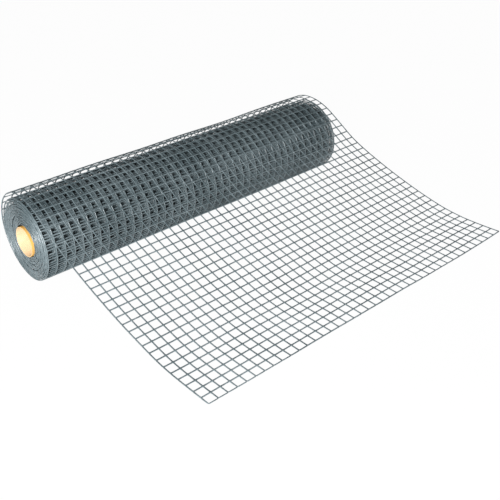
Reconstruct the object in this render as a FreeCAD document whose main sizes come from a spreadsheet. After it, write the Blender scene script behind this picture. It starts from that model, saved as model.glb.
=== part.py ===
"""Roll of square plastic mesh on a cardboard core, with its free end drawn out over the floor.

All sizes are in millimetres. The origin is on the axis of the core, at the middle of its length.
X runs along the core, the free end lies towards -Y, and Z is up.
The sheet has square holes. Its strands along X are called rows, and those along its length are called lines.
"""
import FreeCAD, Part
import math
import os

import Sketcher

SIZES = [
    # alias, value, meaning
    ("mesh_pitch", 25.0, "centre to centre of two rows, or of two lines"),
    ("cells_across", 40, "holes across the width of the sheet"),
    ("strand_width", 3.0, "width of a strand"),
    ("strand_thickness", 2.4, "thickness of a strand, through the sheet"),
    ("edge_stub", 1.5, "how far a row stands out past the outermost line"),
    ("core_bore", 76.0, "bore of the cardboard core"),
    ("core_wall", 2.0, "wall of the core"),
    ("core_overhang", 5.0, "how far each end of the core stands out of the roll"),
    ("core_play", 5.0, "diameter of the innermost turn less that of the core"),
    ("seat_gap", 0.3, "gap under the core, where it rests on the innermost turn"),
    ("turns", 21, "turns in the tight roll"),
    ("turn_pitch", 3.0, "radial distance from one turn to the next"),
    ("groove_depth", 3.0, "depth of the gap between two turns, at each end of the roll"),
    ("groove_width", 0.6, "width of the gap between two turns"),
    ("gap_back", 12.0, "how far the loose turn stands off the back of the roll"),
    ("gap_top", 17.0, "how far the loose turn stands off the top of the roll"),
    ("shoulder_radius", 178.0, "bend of the sheet where it leaves the top of the roll"),
    ("steep_slope", 34.8, "steepest slope of the drawn-out sheet, degrees"),
    ("hollow_radius", 385.0, "bend at the foot of the steep stretch"),
    ("middle_slope", 25.8, "slope at the end of that bend, degrees"),
    ("long_radius", 1460.0, "slow bend of the middle of the sheet"),
    ("low_slope", 13.5, "slope at the end of the slow bend, degrees"),
    ("landing_radius", 645.0, "bend where the sheet comes down to the floor"),
    ("end_slope", 3.6, "slope of the free end, degrees"),
    ("end_length", 98.0, "straight length at the free end"),
    ("rows_per_band", 9, "rows in each band of the loose sheet but the last, which has the rest"),
    ("bands", 5, "bands of the loose sheet, one node each"),
]

os.makedirs("parts", exist_ok=True)
doc = FreeCAD.newDocument("mesh_roll")


# ---------------------------------------------------------------- driving sizes

def make_sheet():
    """Spreadsheet with one named cell for each driving size."""
    sheet = doc.addObject("Spreadsheet::Sheet", "Sizes")
    for row, (alias, value, meaning) in enumerate(SIZES, start=1):
        sheet.set(f"A{row}", meaning)
        sheet.set(f"B{row}", str(value))
        sheet.setAlias(f"B{row}", alias)
    doc.recompute()
    return sheet


sizes = make_sheet()


# ---------------------------------------------------------------- sketch helpers

def origin_plane(body, role):
    """The named plane of a body's own origin."""
    return next(item for item in body.Origin.OriginFeatures if item.Role == role)


def new_sketch(body, name, role):
    """Empty sketch on one of the body's own planes."""
    sketch = body.newObject("Sketcher::SketchObject", name)
    sketch.AttachmentSupport = [(origin_plane(body, role), "")]
    sketch.MapMode = "FlatFace"
    return sketch


def bind(thing, path, expression):
    """Ties one property of a document object to the spreadsheet."""
    thing.setExpression(path, expression)


def sketch_circle(sketch, name, diameter):
    """Circle about the sketch's origin, with its diameter tied to an expression."""
    circle = sketch.addGeometry(Part.Circle(FreeCAD.Vector(0, 0, 0), FreeCAD.Vector(0, 0, 1), 10))
    sketch.addConstraint(Sketcher.Constraint("Coincident", circle, 3, -1, 1))
    index = sketch.addConstraint(Sketcher.Constraint("Diameter", circle, 20.0))
    sketch.renameConstraint(index, name)
    bind(sketch, f"Constraints.{name}", diameter)


def sketch_rectangle(sketch, name, left, low, width, height):
    """Upright rectangle above the X axis, with its place and its two sides tied to expressions.

    left is how far its left side lies left of the sketch's origin, and low is the height of its base.
    """
    corners = [(-2, 1), (-1, 1), (-1, 2), (-2, 2)]
    points = [FreeCAD.Vector(x, y, 0) for x, y in corners]
    first = sketch.GeometryCount
    for start, end in zip(points, points[1:] + points[:1]):
        sketch.addGeometry(Part.LineSegment(start, end))
    for side in range(4):
        following = first + (side + 1) % 4
        sketch.addConstraint(Sketcher.Constraint("Coincident", first + side, 2, following, 1))
        direction = "Horizontal" if side % 2 == 0 else "Vertical"
        sketch.addConstraint(Sketcher.Constraint(direction, first + side))
    distances = {
        "left": (Sketcher.Constraint("DistanceX", first, 1, -1, 1, 2.0), left),
        "low": (Sketcher.Constraint("DistanceY", -1, 1, first, 1, 1.0), low),
        "width": (Sketcher.Constraint("DistanceX", first, 1, first, 2, 1.0), width),
        "height": (Sketcher.Constraint("DistanceY", first + 1, 1, first + 1, 2, 1.0), height),
    }
    for suffix, (constraint, expression) in distances.items():
        index = sketch.addConstraint(constraint)
        sketch.renameConstraint(index, f"{name}_{suffix}")
        bind(sketch, f"Constraints.{name}_{suffix}", expression)


# Widths and radii that several pieces share, as expressions on the spreadsheet.
SHEET_WIDTH = "(Sizes.cells_across * Sizes.mesh_pitch + Sizes.strand_width)"
CORE_LENGTH = f"({SHEET_WIDTH} + 2 * Sizes.core_overhang)"
CORE_OUTSIDE = "(Sizes.core_bore + 2 * Sizes.core_wall)"
INNER_RADIUS = f"({CORE_OUTSIDE} + Sizes.core_play) / 2"


# ---------------------------------------------------------------- cardboard core

def make_core():
    """Wound cardboard tube, open right through."""
    body = doc.addObject("PartDesign::Body", "core_tube")
    section = new_sketch(body, "core_section", "YZ_Plane")
    sketch_circle(section, "outside", CORE_OUTSIDE)
    sketch_circle(section, "bore", "Sizes.core_bore")
    pad = body.newObject("PartDesign::Pad", "core_length")
    pad.Profile = section
    bind(pad, "Length", CORE_LENGTH)
    bind(body, "Placement.Base.x", f"-{CORE_LENGTH} / 2")
    return body


# ---------------------------------------------------------------- tight roll

def make_tight_roll():
    """The wound turns as one turned solid, with a groove between each two turns on both ends."""
    body = doc.addObject("PartDesign::Body", "wound_mesh")

    section = new_sketch(body, "roll_section", "XZ_Plane")
    sketch_rectangle(section, "roll", f"{SHEET_WIDTH} / 2", INNER_RADIUS, SHEET_WIDTH,
                     "Sizes.turns * Sizes.turn_pitch")
    roll = body.newObject("PartDesign::Revolution", "roll_turned")
    roll.Profile = section
    roll.ReferenceAxis = (section, ["H_Axis"])
    roll.Angle = 360

    gaps = new_sketch(body, "turn_gaps", "XZ_Plane")
    for turn in range(1, int(sizes.turns)):
        sketch_rectangle(gaps, f"gap{turn}", f"{SHEET_WIDTH} / 2",
                         f"{INNER_RADIUS} + {turn} * Sizes.turn_pitch - Sizes.groove_width / 2",
                         "Sizes.groove_depth", "Sizes.groove_width")
    near_end = body.newObject("PartDesign::Groove", "near_end_turns")
    near_end.Profile = gaps
    near_end.ReferenceAxis = (gaps, ["H_Axis"])
    near_end.Angle = 360

    far_end = body.newObject("PartDesign::Mirrored", "far_end_turns")
    far_end.Originals = [near_end]
    far_end.MirrorPlane = (origin_plane(body, "YZ_Plane"), [""])
    body.Tip = far_end
    bind(body, "Placement.Base.z", "Sizes.core_play / 2 - Sizes.seat_gap")
    return body


# ---------------------------------------------------------------- run of the loose sheet

def roll_axis_height():
    """Height of the tight roll's axis over the core's axis: the core hangs low in its turn."""
    return sizes.core_play / 2 - sizes.seat_gap


def roll_radius():
    """Outer radius of the tight roll."""
    inner = (sizes.core_bore + 2 * sizes.core_wall + sizes.core_play) / 2
    return inner + sizes.turns * sizes.turn_pitch


class Stretch:
    """Part of the sheet's middle line seen from the end: a straight, or an arc if it has a radius.

    Slopes are in degrees, rising towards the roll, and they turn past -90 behind it.
    """

    def __init__(self, slope, end_slope=None, radius=None, length=None):
        self.slope = math.radians(slope)
        self.end_slope = self.slope if end_slope is None else math.radians(end_slope)
        self.radius = radius
        self.length = length if radius is None else radius * abs(self.end_slope - self.slope)

    def slope_at(self, along):
        return self.slope + (self.end_slope - self.slope) * along / self.length

    def step(self, along):
        """How far in Y and Z the sheet has gone after this length of the stretch."""
        if self.radius is None:
            return along * math.cos(self.slope), along * math.sin(self.slope)
        signed = math.copysign(self.radius, self.end_slope - self.slope)
        slope = self.slope_at(along)
        forward = signed * (math.sin(slope) - math.sin(self.slope))
        upward = signed * (math.cos(self.slope) - math.cos(slope))
        return forward, upward


class SheetRun:
    """The middle line of the loose sheet, from its free end on the floor to the roll's underside."""

    def __init__(self):
        half = sizes.strand_thickness / 2
        lowest = roll_axis_height() - roll_radius() - half
        back_radius = roll_radius() + half + sizes.gap_back
        over_radius = roll_radius() + half + sizes.gap_top - sizes.gap_back
        top_y = back_radius - over_radius
        top_z = lowest + back_radius + over_radius

        landing = [
            Stretch(sizes.end_slope, length=sizes.end_length),
            Stretch(sizes.end_slope, sizes.low_slope, radius=sizes.landing_radius),
            Stretch(sizes.low_slope, sizes.middle_slope, radius=sizes.long_radius),
            Stretch(sizes.middle_slope, sizes.steep_slope, radius=sizes.hollow_radius),
        ]
        shoulder = Stretch(sizes.steep_slope, 0.0, radius=sizes.shoulder_radius)
        climbed = sum(piece.step(piece.length)[1] for piece in landing + [shoulder])
        steep_length = (top_z - lowest - climbed) / math.sin(math.radians(sizes.steep_slope))
        steep = Stretch(sizes.steep_slope, length=steep_length)
        over = Stretch(0.0, -90.0, radius=over_radius)
        under = Stretch(-90.0, -180.0, radius=back_radius)

        self.stretches = landing + [steep, shoulder, over, under]
        before_top = landing + [steep, shoulder]
        self.start_y = top_y - sum(piece.step(piece.length)[0] for piece in before_top)
        self.start_z = lowest
        self.length = sum(piece.length for piece in self.stretches)

    def point(self, along, offset=0.0):
        """Point at a length from the free end, moved off the middle line along its normal.

        Past its end the line goes on round the bend of its last stretch.
        """
        y, z = self.start_y, self.start_z
        for piece in self.stretches:
            part = along if piece is self.stretches[-1] else min(along, piece.length)
            forward, upward = piece.step(part)
            y, z = y + forward, z + upward
            slope = piece.slope_at(part)
            along -= part
            if along <= 1e-9:
                break
        y -= offset * math.sin(slope)
        z += offset * math.cos(slope)
        return FreeCAD.Vector(0, y, z)

    def slope(self, along):
        """Slope in degrees at a length from the free end."""
        for piece in self.stretches[:-1]:
            if along <= piece.length:
                return math.degrees(piece.slope_at(along))
            along -= piece.length
        return math.degrees(self.stretches[-1].slope_at(along))

    def breaks(self, start, end):
        """Lengths at which the line from start to end changes from one stretch to the next."""
        marks, along = [start], 0.0
        for piece in self.stretches:
            along += piece.length
            if start + 1e-6 < along < end - 1e-6:
                marks.append(along)
        return marks + [end]

    def side_edges(self, marks, offset):
        """Edges of one face of the sheet between the marks, as lines and arcs."""
        edges = []
        for start, end in zip(marks, marks[1:]):
            first = self.point(start, offset)
            middle = self.point((start + end) / 2, offset)
            last = self.point(end, offset)
            straight = abs(self.slope(start + 1e-6) - self.slope(end - 1e-6)) < 1e-6
            curve = Part.LineSegment(first, last) if straight else Part.Arc(first, middle, last)
            edges.append(curve.toShape())
        return edges


# ---------------------------------------------------------------- bands of the loose sheet

def band_slab(run, start, end):
    """Unbroken strip of the sheet between two lengths, over its full width."""
    half = sizes.strand_thickness / 2
    half_width = (sizes.cells_across * sizes.mesh_pitch + sizes.strand_width) / 2 + sizes.edge_stub
    marks = run.breaks(start, end)
    upper = run.side_edges(marks, half)
    lower = run.side_edges(marks, -half)
    ends = [
        Part.LineSegment(run.point(start, -half), run.point(start, half)).toShape(),
        Part.LineSegment(run.point(end, -half), run.point(end, half)).toShape(),
    ]
    outline = Part.Wire(Part.sortEdges(upper + lower + ends)[0])
    outline.translate(FreeCAD.Vector(-half_width, 0, 0))
    return Part.Face(outline).extrude(FreeCAD.Vector(2 * half_width, 0, 0))


def hole_tools(run, middle):
    """Blocks that cut one row of holes, and free the row's stubs past both outermost lines."""
    hole = sizes.mesh_pitch - sizes.strand_width
    depth = 6 * sizes.strand_thickness
    across = int(sizes.cells_across)
    tools = []
    for column in range(-1, across + 1):
        block = Part.makeBox(hole, hole, depth, FreeCAD.Vector(-hole / 2, -hole / 2, -depth / 2))
        centre = run.point(middle)
        centre.x = (column + 0.5 - across / 2) * sizes.mesh_pitch
        block.Placement = FreeCAD.Placement(
            centre, FreeCAD.Rotation(FreeCAD.Vector(1, 0, 0), run.slope(middle)))
        tools.append(block)
    return tools


def make_bands():
    """The loose sheet as bars fused where they cross, in bands that meet end to end.

    The bands are numbered from the free end. Each seam runs through the middle of a row of holes.
    """
    run = SheetRun()
    pitch = sizes.mesh_pitch
    first_row = sizes.strand_width / 2
    rows = int((run.length - first_row) // pitch) + 1
    per_band = int(sizes.rows_per_band)
    count = int(sizes.bands)
    bands = []
    for number in range(1, count + 1):
        row = (number - 1) * per_band
        last_row = rows - 1 if number == count else row + per_band - 1
        start = 0.0 if row == 0 else first_row + (row - 0.5) * pitch
        end = run.length if last_row == rows - 1 else first_row + (last_row + 0.5) * pitch
        tools = []
        for gap in range(max(row - 1, 0), last_row + 1):
            tools += hole_tools(run, first_row + (gap + 0.5) * pitch)
        band = doc.addObject("Part::Feature", f"loose_mesh_{number}")
        band.Shape = band_slab(run, start, end).cut(tools)
        bands.append(band)
        print(band.Name, "rows", row, "to", last_row, "solids", len(band.Shape.Solids))
    print("loose sheet", round(run.length), "mm long,", rows, "rows")
    return bands


# ---------------------------------------------------------------- build, check and write

def check(pieces):
    """Stops the macro if any object failed or any piece has no sound solid."""
    for item in doc.Objects:
        if "Invalid" in item.State or "Error" in item.State:
            raise RuntimeError(f"{item.Name} failed to build")
    for piece in pieces:
        shape = piece.Shape
        if shape.isNull() or not shape.isValid() or not shape.Solids:
            raise RuntimeError(f"{piece.Label} has no sound solid")


pieces = [make_core(), make_tight_roll()] + make_bands()
doc.recompute()
check(pieces)
for piece in pieces:
    piece.Shape.exportStep(f"parts/{piece.Label}.step")
    box = piece.Shape.BoundBox
    print(piece.Label, "volume", round(piece.Shape.Volume),
          "box", [round(value, 1) for value in (box.XMin, box.YMin, box.ZMin, box.XMax, box.YMax, box.ZMax)])
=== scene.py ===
# %% [markdown]
# # A roll of plastic mesh
#
# The real thing is one long sheet of moulded square mesh, wound on a cardboard core. Its outer turn has
# sprung loose, and its free end slopes down to the floor. The lesson makes the sheet once, as a flat net,
# and then bends stretches of it along the path that the sheet takes, because that is how the real roll
# comes about: nothing in it is round except by winding.
#
# Everything is in metres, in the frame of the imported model, which stays the truth for sizes.

# %% Load the frame
import math

import bmesh
import bpy
from mathutils import Matrix, Vector, noise


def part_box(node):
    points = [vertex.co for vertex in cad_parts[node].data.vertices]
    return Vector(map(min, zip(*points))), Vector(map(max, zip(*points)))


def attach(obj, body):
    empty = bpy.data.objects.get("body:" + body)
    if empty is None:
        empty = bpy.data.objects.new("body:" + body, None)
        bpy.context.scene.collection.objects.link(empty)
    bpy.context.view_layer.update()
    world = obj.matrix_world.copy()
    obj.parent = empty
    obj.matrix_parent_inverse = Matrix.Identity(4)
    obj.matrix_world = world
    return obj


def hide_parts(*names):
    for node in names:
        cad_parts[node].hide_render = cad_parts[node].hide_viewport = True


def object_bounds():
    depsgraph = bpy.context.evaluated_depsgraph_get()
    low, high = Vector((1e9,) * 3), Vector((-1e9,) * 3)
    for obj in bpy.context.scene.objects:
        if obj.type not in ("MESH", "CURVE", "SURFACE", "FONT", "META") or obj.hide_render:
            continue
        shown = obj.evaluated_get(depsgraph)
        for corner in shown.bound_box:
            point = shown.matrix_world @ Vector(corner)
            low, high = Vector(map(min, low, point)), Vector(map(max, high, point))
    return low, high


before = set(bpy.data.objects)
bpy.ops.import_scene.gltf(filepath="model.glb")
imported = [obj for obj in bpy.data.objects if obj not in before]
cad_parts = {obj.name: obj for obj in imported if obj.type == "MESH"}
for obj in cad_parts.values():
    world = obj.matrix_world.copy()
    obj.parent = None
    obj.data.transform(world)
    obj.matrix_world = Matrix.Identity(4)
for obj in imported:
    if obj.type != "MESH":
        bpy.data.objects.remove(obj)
cad_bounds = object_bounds()
FLOOR = cad_bounds[0][2]
print("model box", [[round(value, 4) for value in corner] for corner in cad_bounds])

# %% [markdown]
# ## Sizes of the sheet and the roll
#
# The holes are 25 mm from centre to centre, and the strands are 3 mm wide and 2.4 mm thick. A strand across
# the sheet is called a row here, and one along it a line. The loose part of the sheet is a chain of straights and arcs
# seen from the end of the roll, the same chain that the construction uses.

# %% Sizes
PITCH = 0.025
STRAND_WIDTH = 0.003
STRAND_THICKNESS = 0.0024
COLUMNS = 40
STUB = 0.003
HALF_WIDTH = COLUMNS * PITCH / 2

ROLL_AXIS_HEIGHT = 0.0022
ROLL_RADIUS = 0.1055
TURNS = 21
TURN_PITCH = 0.003

GAP_BACK = 0.012
GAP_TOP = 0.017
SHOULDER_RADIUS = 0.178
HOLLOW_RADIUS = 0.385
LONG_RADIUS = 1.46
LANDING_RADIUS = 0.645
END_LENGTH = 0.098
END_SLOPE, LOW_SLOPE, MIDDLE_SLOPE, STEEP_SLOPE = (math.radians(angle) for angle in (3.6, 13.5, 25.8, 34.8))

# %% [markdown]
# ## The path of the loose sheet
#
# Each stretch of the path has a slope at its start and at its end, and either a length or a radius. Walking
# along a stretch is then a line of trigonometry, and the walk tells where the sheet is after any length.
# The straight stretch on the steep side takes whatever length brings the free end down to the floor.

# %% Stretches of the path
class Stretch:
    """A straight or an arc of the sheet's middle line, seen from the end of the roll."""

    def __init__(self, slope, end_slope=None, radius=None, length=None):
        self.slope = slope
        self.end_slope = slope if end_slope is None else end_slope
        self.radius = radius
        self.length = length if radius is None else radius * abs(self.end_slope - slope)

    def slope_at(self, along):
        return self.slope + (self.end_slope - self.slope) * along / self.length

    def step(self, along):
        if self.radius is None:
            return along * math.cos(self.slope), along * math.sin(self.slope)
        signed = math.copysign(self.radius, self.end_slope - self.slope)
        slope = self.slope_at(along)
        return signed * (math.sin(slope) - math.sin(self.slope)), signed * (math.cos(self.slope) - math.cos(slope))


lowest = ROLL_AXIS_HEIGHT - ROLL_RADIUS - STRAND_THICKNESS / 2
back_radius = ROLL_RADIUS + STRAND_THICKNESS / 2 + GAP_BACK
over_radius = ROLL_RADIUS + STRAND_THICKNESS / 2 + GAP_TOP - GAP_BACK
landing = [
    Stretch(END_SLOPE, length=END_LENGTH),
    Stretch(END_SLOPE, LOW_SLOPE, radius=LANDING_RADIUS),
    Stretch(LOW_SLOPE, MIDDLE_SLOPE, radius=LONG_RADIUS),
    Stretch(MIDDLE_SLOPE, STEEP_SLOPE, radius=HOLLOW_RADIUS),
]
shoulder = Stretch(STEEP_SLOPE, 0.0, radius=SHOULDER_RADIUS)
climb = back_radius + over_radius - sum(piece.step(piece.length)[1] for piece in landing + [shoulder])
steep = Stretch(STEEP_SLOPE, length=climb / math.sin(STEEP_SLOPE))
over = Stretch(0.0, -math.pi / 2, radius=over_radius)
under = Stretch(-math.pi / 2, -math.pi, radius=back_radius)
STRETCHES = landing + [steep, shoulder, over, under]
START_Y = back_radius - over_radius - sum(piece.step(piece.length)[0] for piece in landing + [steep, shoulder])
LOOSE_LENGTH = sum(piece.length for piece in STRETCHES)
print("loose sheet", round(LOOSE_LENGTH, 3), "m, free end at y =", round(START_Y, 4))

# %% [markdown]
# ## The wound part of the path
#
# Under the roll the loose turn runs into the tight turns. From there the sheet is a spiral that loses one
# turn pitch of radius in each turn. A spiral's length is a simple formula in its angle, so the angle for a
# given length comes from solving a quadratic. The first wound turns haven't quite tightened either: they
# bulge away from the roll at the top and the back, less with each turn. A bulge takes up sheet as well, and
# that decides where the rows of the next turn fall. Here they fall some 6 mm behind those of the turn above,
# then come back, so that the rows stand in groups of three with dark holes between.

# %% Spiral and the whole path
BULGES = (0.0068, 0.0037, 0.0037, 0.0015)
BULGE_START, BULGE_END = math.radians(120), math.radians(350)
SHRINK = TURN_PITCH / (2 * math.pi)
OUTER_LINE = ROLL_RADIUS + STRAND_THICKNESS / 2


def bulge(angle):
    """How far a wound turn stands off at this angle, counted from under the roll by way of its front."""
    turn, within = divmod(angle, 2 * math.pi)
    if turn >= len(BULGES) or not BULGE_START < within < BULGE_END:
        return 0.0
    share = (within - BULGE_START) / (BULGE_END - BULGE_START)
    return BULGES[int(turn)] * math.sin(math.pi * share) ** 2


def bulge_length(angle):
    """How much sheet the bulges have taken up by this angle."""
    span, taken = BULGE_END - BULGE_START, 0.0
    for turn, height in enumerate(BULGES):
        share = max(0.0, min(1.0, (angle - 2 * math.pi * turn - BULGE_START) / span))
        taken += height * span * (share / 2 - math.sin(2 * math.pi * share) / (4 * math.pi))
    return taken


def spiral_angle(along):
    """Angle that the sheet has turned through after this length: each pass corrects for the bulges."""
    angle = 0.0
    for _ in range(4):
        tight = along - bulge_length(angle)
        angle = (OUTER_LINE - math.sqrt(OUTER_LINE ** 2 - 2 * SHRINK * tight)) / SHRINK
    return angle


def on_path(along, offset):
    """Y and Z of a point of the sheet at a length from its free end, offset along the sheet's normal."""
    if along <= LOOSE_LENGTH:
        y, z = START_Y, lowest
        for piece in STRETCHES:
            part = min(along, piece.length)
            forward, upward = piece.step(part)
            y, z, slope = y + forward, z + upward, piece.slope_at(part)
            along -= part
            if along <= 0:
                break
        return y - offset * math.sin(slope), z + offset * math.cos(slope)
    angle = spiral_angle(along - LOOSE_LENGTH)
    radius = OUTER_LINE - SHRINK * angle + bulge(angle) + offset
    return -radius * math.sin(angle), ROLL_AXIS_HEIGHT - radius * math.cos(angle)


LAST_ANGLE = TURNS * 2 * math.pi
WOUND_LENGTH = OUTER_LINE * LAST_ANGLE - SHRINK * LAST_ANGLE ** 2 / 2 + bulge_length(LAST_ANGLE)
print("wound sheet", round(WOUND_LENGTH, 2), "m in", TURNS, "turns")

# %% [markdown]
# ## A flat net
#
# A grid of faces is inset face by face, and the middles are deleted: what is left is a flat net whose
# strands are as wide as twice the inset. The outermost cells are squeezed narrow first, so that they leave
# short pointed stubs past the last strand, where the cutter went through. Solidify gives the net its
# thickness. Points on a strand's middle then stand higher than those on its sides, which makes its section
# six-sided, and smooth shading does the rest.
#
# A subdivision surface would round the strands too, but it would round the square holes as well. So the
# turns near the eye are refined by hand instead: each strand gets a point halfway between two crossings,
# where a moulded strand is slimmest, and the corners of each hole are filleted.

# %% Flat net
CROSSING_SWELL = 1.14
WAIST = 0.9
FILLET = 0.0009


def flat_grid(first_row, last_row, with_end):
    """Grid with one face for each hole, and narrow faces past both sides and past the free end."""
    spare = 1 if with_end else 0
    rows = last_row - first_row + spare
    bm = bmesh.new()
    bmesh.ops.create_grid(bm, x_segments=COLUMNS + 2, y_segments=rows, size=0.5)
    bmesh.ops.scale(bm, vec=(PITCH * (COLUMNS + 2), PITCH * rows, 1), verts=bm.verts)
    bmesh.ops.translate(bm, vec=(0, PITCH * (first_row - spare + rows / 2), 0), verts=bm.verts)
    limit = HALF_WIDTH + STUB
    for vert in bm.verts:
        vert.co.x = max(-limit, min(limit, vert.co.x))
        if with_end:
            vert.co.y = max(-STUB, vert.co.y)
    return bm


def is_rail(face, with_end):
    """Whether a face of the net lies past the last strand and along it, where nothing is left."""
    centre = face.calc_center_median()
    past_side = abs(centre.x) > HALF_WIDTH + STUB - STRAND_WIDTH / 2
    past_end = with_end and centre.y < STRAND_WIDTH / 2 - STUB
    return past_side or past_end


def open_holes(bm, with_end, refined):
    """Insets every face and deletes the middles, and the outer rails of the narrow faces."""
    holes = list(bm.faces)
    bmesh.ops.inset_individual(bm, faces=holes, thickness=STRAND_WIDTH / 2, use_even_offset=True)
    if refined:
        long_edges = [edge for edge in bm.edges if edge.calc_length() > PITCH / 2]
        bmesh.ops.subdivide_edges(bm, edges=long_edges, cuts=1)
        corners = [vert for vert in bm.verts if not on_spine(vert.co) and not at_waist(vert.co)
                   and abs(vert.co.x) < HALF_WIDTH and vert.co.y > 0]
        bmesh.ops.bevel(bm, geom=corners, offset=FILLET, segments=1, profile=0.5,
                        affect="VERTICES", material=-1)
    holes = [face for face in bm.faces if face.calc_area() > (PITCH / 2) ** 2 or face in set(holes)]
    rails = [face for face in bm.faces if face not in set(holes) and is_rail(face, with_end)]
    bmesh.ops.delete(bm, geom=holes + rails, context="FACES")


def near_whole(value):
    return abs(value - round(value)) < 0.01


def on_spine(point):
    """Whether a point of the flat net lies on the middle of a row or of a line."""
    return near_whole((point.x + HALF_WIDTH) / PITCH) or near_whole(point.y / PITCH)


def at_waist(point):
    """Whether a point of the flat net lies halfway between two crossings."""
    return near_whole((point.x + HALF_WIDTH) / PITCH + 0.5) or near_whole(point.y / PITCH + 0.5)


def thicken(bm, height):
    """Closes the flat net into a solid whose strands are highest along their middle."""
    bmesh.ops.solidify(bm, geom=bm.faces[:], thickness=height)
    middle = sum(vert.co.z for vert in bm.verts) / len(bm.verts)
    for vert in bm.verts:
        level = height / 2 if on_spine(vert.co) else height / 4
        level *= WAIST if at_waist(vert.co) else CROSSING_SWELL
        vert.co.z = math.copysign(level, vert.co.z - middle)
    bmesh.ops.recalc_face_normals(bm, faces=bm.faces)


def trim(bm, along, keep_above):
    """Cuts the net square across at a length, and caps the strands that it cuts."""
    normal = (0, -1, 0) if keep_above else (0, 1, 0)
    bmesh.ops.bisect_plane(bm, geom=bm.verts[:] + bm.edges[:] + bm.faces[:], plane_co=(0, along, 0),
                           plane_no=normal, clear_outer=True)
    rims = [edge for edge in bm.edges if len(edge.link_faces) == 1]
    bmesh.ops.holes_fill(bm, edges=rims, sides=0)


# %% [markdown]
# ## From a flat net to a piece of the roll
#
# A real sheet isn't perfectly straight. Its strands wander a little in the sheet, the inner turns have slid
# a few millimetres along the core and the outer ones less, and the free part has gentle waves and one corner that stands up a little.
# These shifts are added while the net is still flat, from smooth noise, and then every point is carried to
# its place on the path. A point that would come out under the floor is set on the floor instead.

# %% Bending the net
WANDER = 0.0005
SLIP = 0.0034
FRAY = 0.0016
OUTER_SLIP = 0.25
SLIP_REACH = 4.0
WAVE = 0.0030
CORNER_LIFT = 0.006


def irregular(point):
    """A point of the flat net, moved as an uneven sheet would have it."""
    x, along, height = point
    x += WANDER * noise.noise(Vector((x * 18, along * 14, 1.7)))
    if along > LOOSE_LENGTH:
        depth = OUTER_SLIP + (1 - OUTER_SLIP) * min(1.0, (along - LOOSE_LENGTH) / SLIP_REACH)
        x += depth * SLIP * noise.noise(Vector((along * 2.1, 0.0, 5.2)))
        x += depth * FRAY * noise.noise(Vector((along * 23, x * 2, 8.6)))
    along += WANDER * noise.noise(Vector((x * 14, along * 18, 9.4)))
    if along < LOOSE_LENGTH:
        share = max(0.0, min(1.0, (LOOSE_LENGTH - along) / 0.25))
        height += WAVE * share * noise.noise(Vector((x * 5, along * 7, 3.3)))
        to_corner = max(0.0, x / HALF_WIDTH - 0.6) / 0.4 * max(0.0, 1 - along / 0.12)
        height += CORNER_LIFT * to_corner ** 2
    return x, along, height


def lay_net(name, first_row, last_row, refined=False, free_end=False):
    """A stretch of the sheet in its place: it starts and ends half a hole before its two rows."""
    bm = flat_grid(first_row if free_end else first_row - 1, last_row, free_end)
    open_holes(bm, free_end, refined)
    thicken(bm, STRAND_THICKNESS)
    if not free_end:
        trim(bm, (first_row - 0.5) * PITCH, keep_above=True)
    trim(bm, (last_row - 0.5) * PITCH, keep_above=False)
    for vert in bm.verts:
        x, along, height = irregular(vert.co)
        y, z = on_path(along, height)
        vert.co = (x, y, max(z, FLOOR))
    for face in bm.faces:
        face.smooth = True
    mesh = bpy.data.meshes.new(name)
    bm.to_mesh(mesh)
    open_edges = sum(1 for edge in bm.edges if len(edge.link_faces) != 2)
    bm.free()
    piece = bpy.data.objects.new(name, mesh)
    bpy.context.scene.collection.objects.link(piece)
    triangles = sum(len(polygon.vertices) - 2 for polygon in mesh.polygons)
    print(name, "rows", first_row, "to", last_row, "triangles", triangles, "open edges", open_edges)
    return piece


# %% [markdown]
# ## Laying the sheet
#
# The sheet is one length, but it is laid in a few pieces that meet halfway between two rows, because each
# piece has to stay light. Counting rows along the whole sheet keeps the spacing of the rows unbroken, and
# so the rows of each turn fall a little behind those of the turn below, as they do on the real roll.

# %% The pieces of the sheet
loose_rows = int(LOOSE_LENGTH / PITCH)
total_rows = int((LOOSE_LENGTH + WOUND_LENGTH) / PITCH)
outer_rows = loose_rows + 26
second_rows = outer_rows + 25
middle_rows = (second_rows + total_rows) // 2 - 20
loose_sheet = lay_net("loose_sheet", 0, loose_rows, refined=True, free_end=True)
outer_turn = lay_net("outer_turn", loose_rows, outer_rows, refined=True)
second_turn = lay_net("second_turn", outer_rows, second_rows, refined=True)
middle_turns = lay_net("middle_turns", second_rows, middle_rows)
inner_turns = lay_net("inner_turns", middle_rows, total_rows)
SHEET_PIECES = [loose_sheet, outer_turn, second_turn, middle_turns, inner_turns]

# %% [markdown]
# ## The core
#
# The core is wound from strips of cardboard. A tube is a section spun about its axis, so the section's four
# corners are rounded first and then spun once round.

# %% Core
CORE_LOW, CORE_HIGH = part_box("core_tube")
CORE_OUTSIDE = (CORE_HIGH[2] - CORE_LOW[2]) / 2
CORE_WALL = 0.002
CORE_STEPS = 128


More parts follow.
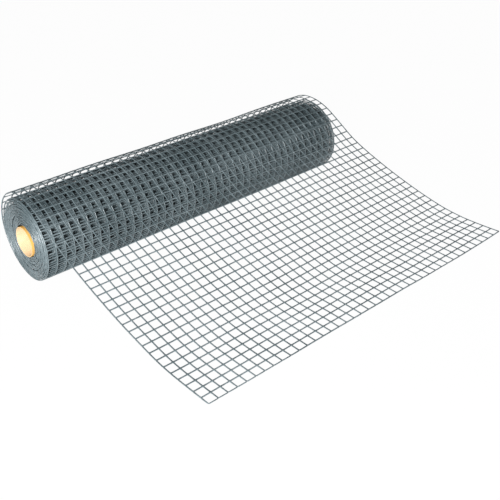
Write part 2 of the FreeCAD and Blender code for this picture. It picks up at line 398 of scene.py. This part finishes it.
def spun_tube(name, low_x, high_x, outside, wall, rounding):
    """Open tube about the X axis with rounded rims."""
    bm = bmesh.new()
    corners = [(low_x, outside - wall), (high_x, outside - wall), (high_x, outside), (low_x, outside)]
    section = bm.faces.new([bm.verts.new((x, 0, radius)) for x, radius in corners])
    bmesh.ops.bevel(bm, geom=section.verts[:], offset=rounding, segments=3, profile=0.5,
                    affect="VERTICES", material=-1)
    outline = [edge for edge in bm.edges]
    bmesh.ops.delete(bm, geom=bm.faces[:], context="FACES_ONLY")
    bmesh.ops.spin(bm, geom=outline, cent=(0, 0, 0), axis=(1, 0, 0), angle=2 * math.pi,
                   steps=CORE_STEPS, use_merge=True)
    bmesh.ops.recalc_face_normals(bm, faces=bm.faces)
    for face in bm.faces:
        face.smooth = True
    mesh = bpy.data.meshes.new(name)
    bm.to_mesh(mesh)
    print(name, "open edges", sum(1 for edge in bm.edges if len(edge.link_faces) != 2))
    bm.free()
    piece = bpy.data.objects.new(name, mesh)
    bpy.context.scene.collection.objects.link(piece)
    return piece


core = spun_tube("cardboard_core", CORE_LOW[0], CORE_HIGH[0], CORE_OUTSIDE, CORE_WALL, 0.0004)

# %% [markdown]
# ## Finishes
#
# Two effects are shared as node groups. One puts out a slow drift of tone with fine specks on it, at different
# scales for the plastic and the cardboard: the cardboard's specks are its own tone, and the plastic's strong specks
# are partly painted glints, lighter flecks that stand in for strands catching the light. The other is the height of
# the surface grain.
# Groups give out only values that change over the surface, and the shader stays in the material.

# %% Shared node groups
def new_group(name, inputs, outputs):
    group = bpy.data.node_groups.new(name, "ShaderNodeTree")
    for label, default in inputs.items():
        socket = group.interface.new_socket(label, in_out="INPUT", socket_type="NodeSocketFloat")
        socket.default_value = default
    for label in outputs:
        group.interface.new_socket(label, in_out="OUTPUT", socket_type="NodeSocketFloat")
    return group, group.nodes.new("NodeGroupInput"), group.nodes.new("NodeGroupOutput")


def math_node(tree, operation, *values):
    node = tree.nodes.new("ShaderNodeMath")
    node.operation = operation
    for socket, value in zip(node.inputs, values):
        if isinstance(value, (int, float)):
            socket.default_value = value
        else:
            tree.links.new(value, socket)
    return node.outputs[0]


def noise_node(tree, coordinates, scale, detail):
    node = tree.nodes.new("ShaderNodeTexNoise")
    node.inputs["Detail"].default_value = detail
    tree.links.new(coordinates, node.inputs["Vector"])
    tree.links.new(scale, node.inputs["Scale"])
    return node.outputs["Fac"]


def make_tone_group():
    """Slow drift plus fine specks, about 0.5 on average."""
    group, given, result = new_group("tone_drift", {"Drift Scale": 6, "Speck Scale": 400, "Specks": 0.3}, ["Tone"])
    place = group.nodes.new("ShaderNodeTexCoord").outputs["Object"]
    drift = noise_node(group, place, given.outputs["Drift Scale"], 2)
    specks = noise_node(group, place, given.outputs["Speck Scale"], 3)
    centred = math_node(group, "SUBTRACT", specks, 0.5)
    amount = math_node(group, "MULTIPLY", centred, given.outputs["Specks"])
    group.links.new(math_node(group, "ADD", drift, amount), result.inputs["Tone"])
    return group


def make_grain_group():
    """Height of a fine surface grain."""
    group, given, result = new_group("surface_grain", {"Grain Scale": 900}, ["Height"])
    place = group.nodes.new("ShaderNodeTexCoord").outputs["Object"]
    group.links.new(noise_node(group, place, given.outputs["Grain Scale"], 4), result.inputs["Height"])
    return group


tone_group = make_tone_group()
grain_group = make_grain_group()

# %% Material helpers
def start_material(name, roughness, specular):
    material = bpy.data.materials.new(name)
    material.use_nodes = True
    shader = material.node_tree.nodes["Principled BSDF"]
    shader.inputs["Roughness"].default_value = roughness
    shader.inputs["Specular IOR Level"].default_value = specular
    return material, material.node_tree, shader


def place_group(tree, group, **values):
    node = tree.nodes.new("ShaderNodeGroup")
    node.node_tree = group
    for label, value in values.items():
        node.inputs[label.replace("_", " ")].default_value = value
    return node.outputs[0]


def colour_ramp(tree, factor, stops):
    node = tree.nodes.new("ShaderNodeValToRGB")
    ramp = node.color_ramp
    while len(ramp.elements) < len(stops):
        ramp.elements.new(0.5)
    for element, (position, colour) in zip(ramp.elements, stops):
        element.position = position
        element.color = (*colour, 1)
    tree.links.new(factor, node.inputs["Fac"])
    return node.outputs["Color"]


def mixed_colour(tree, factor, first, second):
    """First colour where the factor is 0 and second where it is 1; the second may be a plain colour."""
    node = tree.nodes.new("ShaderNodeMix")
    node.data_type = "RGBA"
    tree.links.new(factor, node.inputs["Factor"])
    tree.links.new(first, node.inputs["A"])
    if isinstance(second, tuple):
        node.inputs["B"].default_value = second
    else:
        tree.links.new(second, node.inputs["B"])
    return node.outputs["Result"]


def add_bump(tree, shader, height, strength, distance):
    bump = tree.nodes.new("ShaderNodeBump")
    bump.inputs["Strength"].default_value = strength
    bump.inputs["Distance"].default_value = distance
    tree.links.new(height, bump.inputs["Height"])
    tree.links.new(bump.outputs["Normal"], shader.inputs["Normal"])


# %% [markdown]
# ## Moulded plastic
#
# The strands are grey-green polyethylene with a soft sheen. The sheen is what draws bright lines over the
# roll, so the roughness is middling, and the tone varies slowly along the sheet. Its strong fine specks are
# partly painted glints: lighter flecks in the colour that stand in for strands catching the light.

# %% Plastic
def make_plastic():
    material, tree, shader = start_material("mesh_plastic", 0.34, 0.7)
    # Specks at 0.9 are painted glints on top of the random tone: lighter flecks that stand in for strands catching the
    # light.
    tone = place_group(tree, tone_group, Drift_Scale=9.0, Speck_Scale=170.0, Specks=0.9)
    colour = colour_ramp(tree, tone, [(0.3, (0.070, 0.098, 0.108)), (0.7, (0.142, 0.180, 0.194))])
    tree.links.new(colour, shader.inputs["Base Color"])
    grain = place_group(tree, grain_group, Grain_Scale=700.0)
    add_bump(tree, shader, grain, 0.25, 0.0003)
    return material


plastic = make_plastic()

# %% [markdown]
# ## Cardboard
#
# The core's strips are wound at an angle, and their edges show as a thin helix on the inside and the
# outside. The helix is the place where the position along the core, measured in strip widths, plus the
# share of a turn round it, is a whole number. The bore is pale, and the liner on the outside is warmer.

# %% Cardboard
STRIP_WIDTH = 0.11
SEAM = 0.010
LINER = 0.0006


def make_cardboard():
    material, tree, shader = start_material("core_cardboard", 0.85, 0.2)
    tone = place_group(tree, tone_group, Drift_Scale=25.0, Speck_Scale=900.0, Specks=0.9)
    bore = colour_ramp(tree, tone, [(0.25, (0.60, 0.43, 0.25)), (0.75, (0.75, 0.57, 0.36))])
    liner = colour_ramp(tree, tone, [(0.25, (0.55, 0.30, 0.07)), (0.75, (0.66, 0.38, 0.10))])
    place = tree.nodes.new("ShaderNodeTexCoord").outputs["Object"]
    split = tree.nodes.new("ShaderNodeSeparateXYZ")
    tree.links.new(place, split.inputs["Vector"])
    turned = math_node(tree, "ARCTAN2", split.outputs["Z"], split.outputs["Y"])
    share = math_node(tree, "DIVIDE", turned, 2 * math.pi)
    strips = math_node(tree, "DIVIDE", split.outputs["X"], STRIP_WIDTH)
    position = math_node(tree, "FRACT", math_node(tree, "ADD", strips, share))
    seam = math_node(tree, "LESS_THAN", position, SEAM)
    squares = (math_node(tree, "MULTIPLY", split.outputs[axis], split.outputs[axis]) for axis in "YZ")
    radius = math_node(tree, "SQRT", math_node(tree, "ADD", *squares))
    outside = math_node(tree, "GREATER_THAN", radius, CORE_OUTSIDE - LINER)
    board = mixed_colour(tree, outside, bore, liner)
    tree.links.new(mixed_colour(tree, seam, board, (0.52, 0.36, 0.18, 1)), shader.inputs["Base Color"])
    grain = place_group(tree, grain_group, Grain_Scale=1200.0)
    add_bump(tree, shader, grain, 0.4, 0.0002)
    return material


cardboard = make_cardboard()

# %% [markdown]
# ## Tying the pieces to the model
#
# Every piece rides on the one body, and the plain nodes that it stands for are hidden.

# %% Ride and replace
for piece in SHEET_PIECES:
    piece.data.materials.append(plastic)
    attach(piece, "root")
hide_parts(*(f"loose_mesh_{number}" for number in range(1, 6)))
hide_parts("wound_mesh")
core.data.materials.append(cardboard)
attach(core, "root")
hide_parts("core_tube")

# %% [markdown]
# ## Floor, light and camera
#
# The floor is white. For the camera it is mostly a plain white emission, with enough of the lit surface
# mixed in to keep a faint shadow. The world gives an even light, and one large soft lamp in front of the
# near end of the roll reaches into the core and draws the sheen along the strands.

# %% Floor
FLOOR_SIZE = 14.0
FLOOR_WHITE = 0.97


def white_for_camera(tree, lit):
    """Mixes plain white into a surface for what the camera sees directly or in a reflection."""
    path = tree.nodes.new("ShaderNodeLightPath")
    seen = math_node(tree, "MAXIMUM", path.outputs["Is Camera Ray"], path.outputs["Is Glossy Ray"])
    white = tree.nodes.new("ShaderNodeEmission")
    mix = tree.nodes.new("ShaderNodeMixShader")
    tree.links.new(math_node(tree, "MULTIPLY", seen, FLOOR_WHITE), mix.inputs["Fac"])
    tree.links.new(lit, mix.inputs[1])
    tree.links.new(white.outputs["Emission"], mix.inputs[2])
    return mix.outputs["Shader"]


def make_floor():
    bm = bmesh.new()
    bmesh.ops.create_grid(bm, x_segments=1, y_segments=1, size=FLOOR_SIZE / 2)
    bmesh.ops.translate(bm, vec=(0, 0, FLOOR), verts=bm.verts)
    mesh = bpy.data.meshes.new("floor")
    bm.to_mesh(mesh)
    bm.free()
    floor = bpy.data.objects.new("floor", mesh)
    bpy.context.scene.collection.objects.link(floor)
    material = bpy.data.materials.new("floor_white")
    material.use_nodes = True
    tree = material.node_tree
    shader = tree.nodes["Principled BSDF"]
    shader.inputs["Base Color"].default_value = (0.92, 0.92, 0.92, 1)
    shader.inputs["Roughness"].default_value = 0.9
    surface = white_for_camera(tree, shader.outputs["BSDF"])
    tree.links.new(surface, tree.nodes["Material Output"].inputs["Surface"])
    floor.data.materials.append(material)


make_floor()

# %% World and lamps
WORLD_LIGHT = 0.26
KEY_POWER = 180


def make_world():
    world = bpy.data.worlds.new("studio")
    bpy.context.scene.world = world
    world.use_nodes = True
    tree = world.node_tree
    path = tree.nodes.new("ShaderNodeLightPath")
    background = tree.nodes["Background"]
    background.inputs["Color"].default_value = (1, 1, 1, 1)
    extra = math_node(tree, "MULTIPLY", path.outputs["Is Camera Ray"], 1 - WORLD_LIGHT)
    tree.links.new(math_node(tree, "ADD", extra, WORLD_LIGHT), background.inputs["Strength"])


def add_lamp(name, place, aim, size, power):
    lamp = bpy.data.lights.new(name, "AREA")
    lamp.shape = "DISK"
    lamp.size = size
    lamp.energy = power
    holder = bpy.data.objects.new(name, lamp)
    holder.location = place
    holder.rotation_euler = (Vector(aim) - Vector(place)).to_track_quat("-Z", "Y").to_euler()
    bpy.context.scene.collection.objects.link(holder)


make_world()
add_lamp("key", (-2.4, -2.2, 1.1), (-0.1, -0.1, 0), 1.1, KEY_POWER)

# %% Camera
AIM = Vector((0.015, -0.297, -0.051))
AZIMUTH, ELEVATION, LEAN = math.radians(-41.13), math.radians(26.87), math.radians(-2.66)
DISTANCE = 2.176
LENS = 59.43
SHIFT = (-0.0218, -0.0446)


def make_camera():
    camera_data = bpy.data.cameras.new("camera")
    camera_data.lens = LENS
    camera_data.shift_x, camera_data.shift_y = SHIFT
    camera = bpy.data.objects.new("camera", camera_data)
    back = Vector((math.sin(AZIMUTH) * math.cos(ELEVATION),
                   -math.cos(AZIMUTH) * math.cos(ELEVATION),
                   math.sin(ELEVATION)))
    turn = back.to_track_quat("Z", "Y").to_matrix().to_4x4() @ Matrix.Rotation(LEAN, 4, "Z")
    camera.matrix_world = Matrix.Translation(AIM + DISTANCE * back) @ turn
    bpy.context.scene.collection.objects.link(camera)
    bpy.context.scene.camera = camera


make_camera()
bpy.context.scene.view_settings.view_transform = "Standard"
